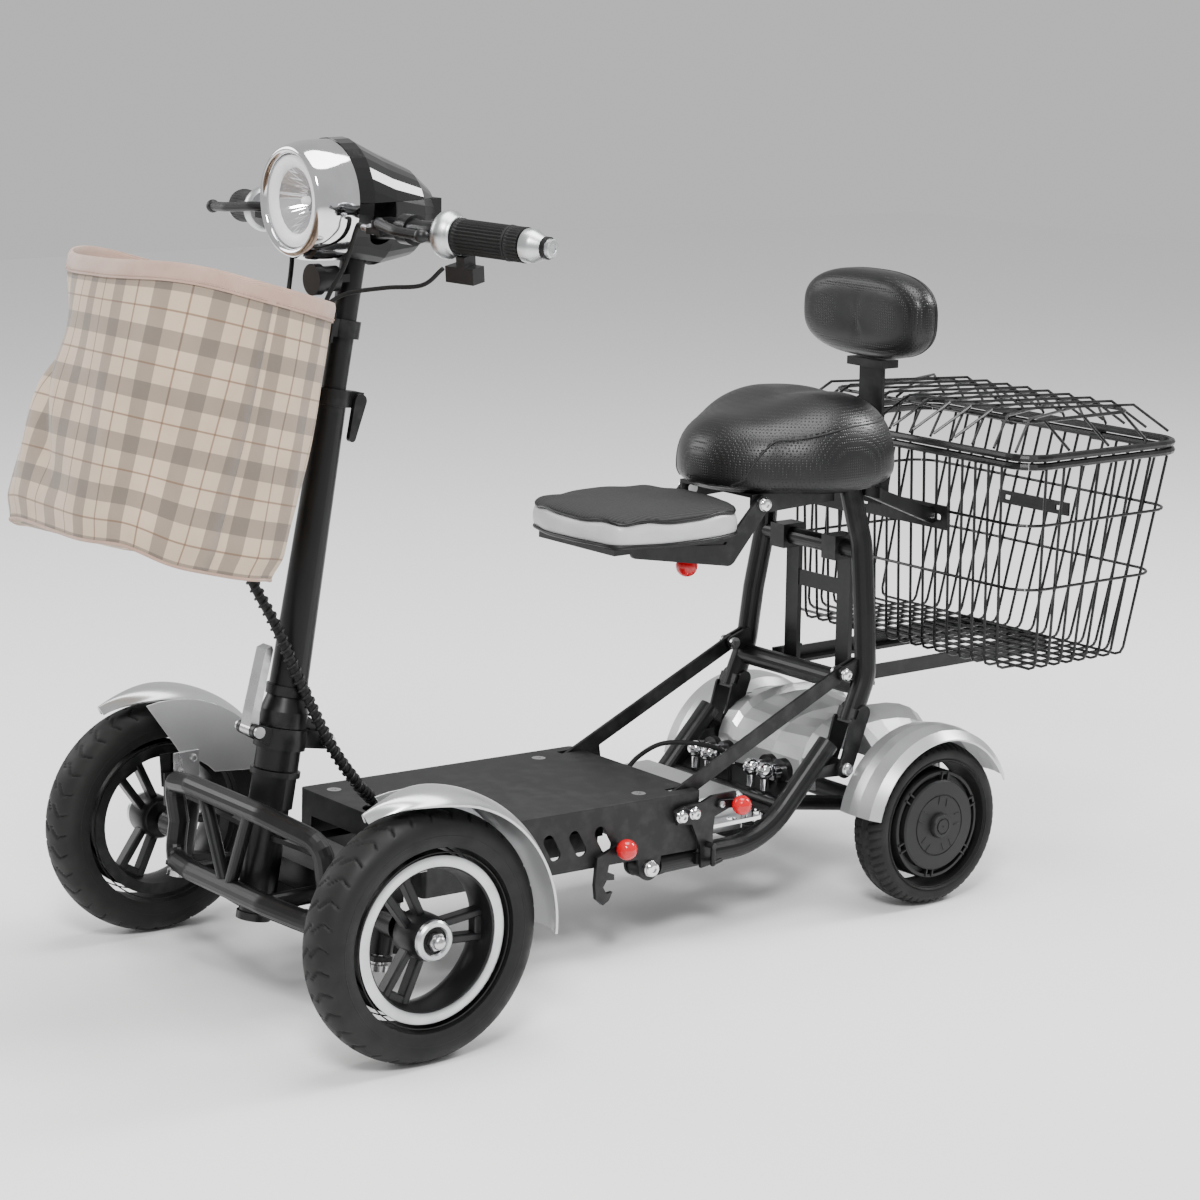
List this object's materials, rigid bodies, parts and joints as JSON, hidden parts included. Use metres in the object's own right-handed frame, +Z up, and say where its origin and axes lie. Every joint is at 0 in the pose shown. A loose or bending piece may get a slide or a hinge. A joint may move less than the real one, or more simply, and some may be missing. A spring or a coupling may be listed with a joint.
{
  "type": "folding mobility scooter",
  "caption": "Folding mobility scooter with four wheels, saddle, backrest, child seat, fabric front bag, round headlamp and lidded wire basket.",
  "frame": {"origin": "centre of the bounding box in plan, at floor level", "axes": "+Y points to the rear of the scooter, +X to the rider's left, +Z up"},
  "size_m": [0.596, 1.3722, 0.8805],
  "materials": {
    "black_paint": "satin",
    "silver_paint": "satin metallic",
    "chrome": "polished",
    "steel": "zinc plated",
    "rubber": "matte",
    "tyre": "matte",
    "matte_black_plastic": "matte",
    "gloss_black_plastic": "gloss",
    "red_plastic": "gloss",
    "lens": "clear",
    "bag_fabric": "woven plaid",
    "black_vinyl": "grained vinyl",
    "grey_foam": "satin",
    "black_wire": "powder coated"
  },
  "bodies": {
    "chassis": {"deck_tray": "black_paint", "front_frame": "black_paint", "bumper": "black_paint", "frame_fasteners": "steel", "harness": "rubber"},
    "steering": {"steering_post": "black_paint", "hinge_pins": "steel"},
    "steering_knuckle_left": {"knuckle_left": "black_paint", "front_fender_left": "silver_paint"},
    "steering_knuckle_right": {"knuckle_right": "black_paint", "front_fender_right": "silver_paint"},
    "tie_rod_pair": {"tie_rods": "steel"},
    "front_wheel_left": {"front_tyre_left": "tyre", "front_rim_left": "black_paint"},
    "front_wheel_right": {"front_tyre_right": "tyre", "front_rim_right": "black_paint"},
    "column_fold_lever": {"fold_lever": "steel"},
    "column": {"column_tube": "black_paint"},
    "height_clamp": {"clamp_lever": "black_paint"},
    "handlebar": {"handlebar_post": "black_paint", "bar_fittings": "silver_paint", "grip_ends": "rubber", "switch_pod": "matte_black_plastic", "headlamp_pod": "gloss_black_plastic", "headlamp_base": "matte_black_plastic", "headlamp_bezel": "chrome", "headlamp_bowl": "chrome", "headlamp_lens": "lens", "front_bag": "bag_fabric", "bar_cables": "rubber", "pod_cable": "rubber"},
    "throttle": {"throttle_grip": "rubber"},
    "brake_left": {"brake_lever_left": "matte_black_plastic"},
    "brake_right": {"brake_lever_right": "matte_black_plastic"},
    "horn_switch": {"horn_button": "red_plastic"},
    "rear_chassis": {"rear_frame": "black_paint", "controller_box": "silver_paint", "rear_hardware": "chrome", "rear_cover": "silver_paint", "tail_cable": "rubber"},
    "seat_frame": {"seat_tubes": "black_paint", "seat_bolts": "steel", "saddle_bracket": "black_paint", "saddle": "black_vinyl", "rack": "black_paint", "basket": "black_wire"},
    "strut_pair": {"struts": "black_paint"},
    "rear_wheel_left": {"rear_tyre_left": "tyre", "rear_hub_left": "black_paint"},
    "rear_wheel_right": {"rear_tyre_right": "tyre", "rear_hub_right": "black_paint"},
    "frame_latch_left": {"latch_lever_left": "red_plastic"},
    "frame_latch_right": {"latch_lever_right": "red_plastic"},
    "lock_pin": {"spring_pin": "black_paint"},
    "side_hook": {"hook_lever": "black_paint"},
    "child_seat_arms": {"child_arms": "black_paint", "child_seat": "grey_foam"},
    "backrest_slider": {"backrest_stem": "black_paint", "backrest": "black_vinyl"},
    "lid": {"basket_lid": "black_wire"}
  },
  "joints": [
    {"name": "steer", "type": "hinge", "parent": "chassis", "child": "steering", "pos_m": [0, -0.46141, 0.09833], "axis": [0, 0.1822, 0.9833], "range_deg": [-25, 25], "deforming": ["harness"]},
    {"name": "knuckle_left_turn", "type": "hinge", "parent": "chassis", "child": "steering_knuckle_left", "pos_m": [0.196, -0.432, 0.1275], "axis": [0, 0.1822, 0.9833], "range_deg": [-25, 25]},
    {"name": "knuckle_right_turn", "type": "hinge", "parent": "chassis", "child": "steering_knuckle_right", "pos_m": [-0.196, -0.432, 0.1275], "axis": [0, 0.1822, 0.9833], "range_deg": [-25, 25]},
    {"name": "tie_rod_turn", "type": "hinge", "parent": "steering", "child": "tie_rod_pair", "pos_m": [0, -0.40802, 0.06809], "axis": [0, 0.1822, 0.9833], "range_deg": [-25, 25]},
    {"name": "front_wheel_left_spin", "type": "hinge", "parent": "steering_knuckle_left", "child": "front_wheel_left", "pos_m": [0.26, -0.432, 0.1275], "axis": [1, 0, 0], "continuous": true},
    {"name": "front_wheel_right_spin", "type": "hinge", "parent": "steering_knuckle_right", "child": "front_wheel_right", "pos_m": [-0.26, -0.432, 0.1275], "axis": [1, 0, 0], "continuous": true},
    {"name": "fold_lever_turn", "type": "hinge", "parent": "steering", "child": "column_fold_lever", "pos_m": [0, -0.4656, 0.2842], "axis": [1, 0, 0], "range_deg": [0, 60]},
    {"name": "column_fold", "type": "hinge", "parent": "steering", "child": "column", "pos_m": [0, -0.38392, 0.26398], "axis": [-1, 0, 0], "range_deg": [0, 40], "deforming": ["harness"]},
    {"name": "clamp_lever_turn", "type": "hinge", "parent": "column", "child": "height_clamp", "pos_m": [0, -0.33997, 0.61362], "axis": [1, 0, 0], "range_deg": [0, 90]},
    {"name": "handlebar_height", "type": "slide", "parent": "column", "child": "handlebar", "axis": [0, -0.1822, -0.9833], "range_m": [-0.07, 0.03], "deforming": ["harness"]},
    {"name": "throttle_twist", "type": "hinge", "parent": "handlebar", "child": "throttle", "pos_m": [0.15, -0.344, 0.796], "axis": [0.956, 0.2903, -0.0425], "range_deg": [-60, 0], "stiffness_Nm_per_rad": 0.5},
    {"name": "brake_left_pull", "type": "hinge", "parent": "handlebar", "child": "brake_left", "pos_m": [0.102, -0.375, 0.795], "axis": [0, 0, 1], "range_deg": [0, 10], "stiffness_Nm_per_rad": 3},
    {"name": "brake_right_pull", "type": "hinge", "parent": "handlebar", "child": "brake_right", "pos_m": [-0.102, -0.375, 0.795], "axis": [0, 0, -1], "range_deg": [0, 10], "stiffness_Nm_per_rad": 3},
    {"name": "horn_press", "type": "slide", "parent": "handlebar", "child": "horn_switch", "axis": [0.2821, -0.9493, -0.1391], "range_m": [0, 0.002], "stiffness_N_per_m": 300},
    {"name": "rear_fold", "type": "hinge", "parent": "chassis", "child": "rear_chassis", "pos_m": [0, -0.035, 0.091], "axis": [-1, 0, 0], "range_deg": [0, 48], "deforming": ["tail_cable"]},
    {"name": "seat_fold", "type": "hinge", "parent": "rear_chassis", "child": "seat_frame", "pos_m": [0, 0.244, 0.161], "axis": [-1, 0, 0], "range_deg": [-24.5, 0]},
    {"name": "strut_swing", "type": "hinge", "parent": "seat_frame", "child": "strut_pair", "pos_m": [0, 0.253, 0.267], "axis": [-1, 0, 0], "range_deg": [0, 24.5]},
    {"name": "rear_wheel_left_spin", "type": "hinge", "parent": "rear_chassis", "child": "rear_wheel_left", "pos_m": [0.16, 0.333, 0.095], "axis": [1, 0, 0], "continuous": true},
    {"name": "rear_wheel_right_spin", "type": "hinge", "parent": "rear_chassis", "child": "rear_wheel_right", "pos_m": [-0.16, 0.333, 0.095], "axis": [1, 0, 0], "continuous": true},
    {"name": "latch_left_turn", "type": "hinge", "parent": "rear_chassis", "child": "frame_latch_left", "pos_m": [0.121, 0.054, 0.152], "axis": [1, 0, 0], "range_deg": [0, 25], "stiffness_Nm_per_rad": 0.6},
    {"name": "latch_right_turn", "type": "hinge", "parent": "rear_chassis", "child": "frame_latch_right", "pos_m": [-0.121, 0.054, 0.152], "axis": [1, 0, 0], "range_deg": [0, 25], "stiffness_Nm_per_rad": 0.6},
    {"name": "lock_pin_pull", "type": "slide", "parent": "rear_chassis", "child": "lock_pin", "axis": [1, 0, 0], "range_m": [0, 0.008], "stiffness_N_per_m": 400},
    {"name": "side_hook_turn", "type": "hinge", "parent": "chassis", "child": "side_hook", "pos_m": [0.119, -0.107, 0.108], "axis": [1, 0, 0], "range_deg": [0, 15], "stiffness_Nm_per_rad": 0.6},
    {"name": "child_seat_drop", "type": "hinge", "parent": "seat_frame", "child": "child_seat_arms", "pos_m": [0, 0.157, 0.467], "axis": [1, 0, 0], "range_deg": [0, 50]},
    {"name": "backrest_height", "type": "slide", "parent": "seat_frame", "child": "backrest_slider", "axis": [0, 0, 1], "range_m": [0, 0.04]},
    {"name": "lid_open", "type": "hinge", "parent": "seat_frame", "child": "lid", "pos_m": [0, 0.68, 0.503], "axis": [-1, 0, 0], "range_deg": [0, 100]}
  ],
  "couplings": [
    {"joint": "knuckle_left_turn", "follows": "steer", "ratio": 1},
    {"joint": "knuckle_right_turn", "follows": "steer", "ratio": 1},
    {"joint": "tie_rod_turn", "follows": "steer", "ratio": -1},
    {"joint": "seat_fold", "follows": "rear_fold", "ratio": -0.498},
    {"joint": "strut_swing", "follows": "rear_fold", "ratio": 0.497}
  ]
}
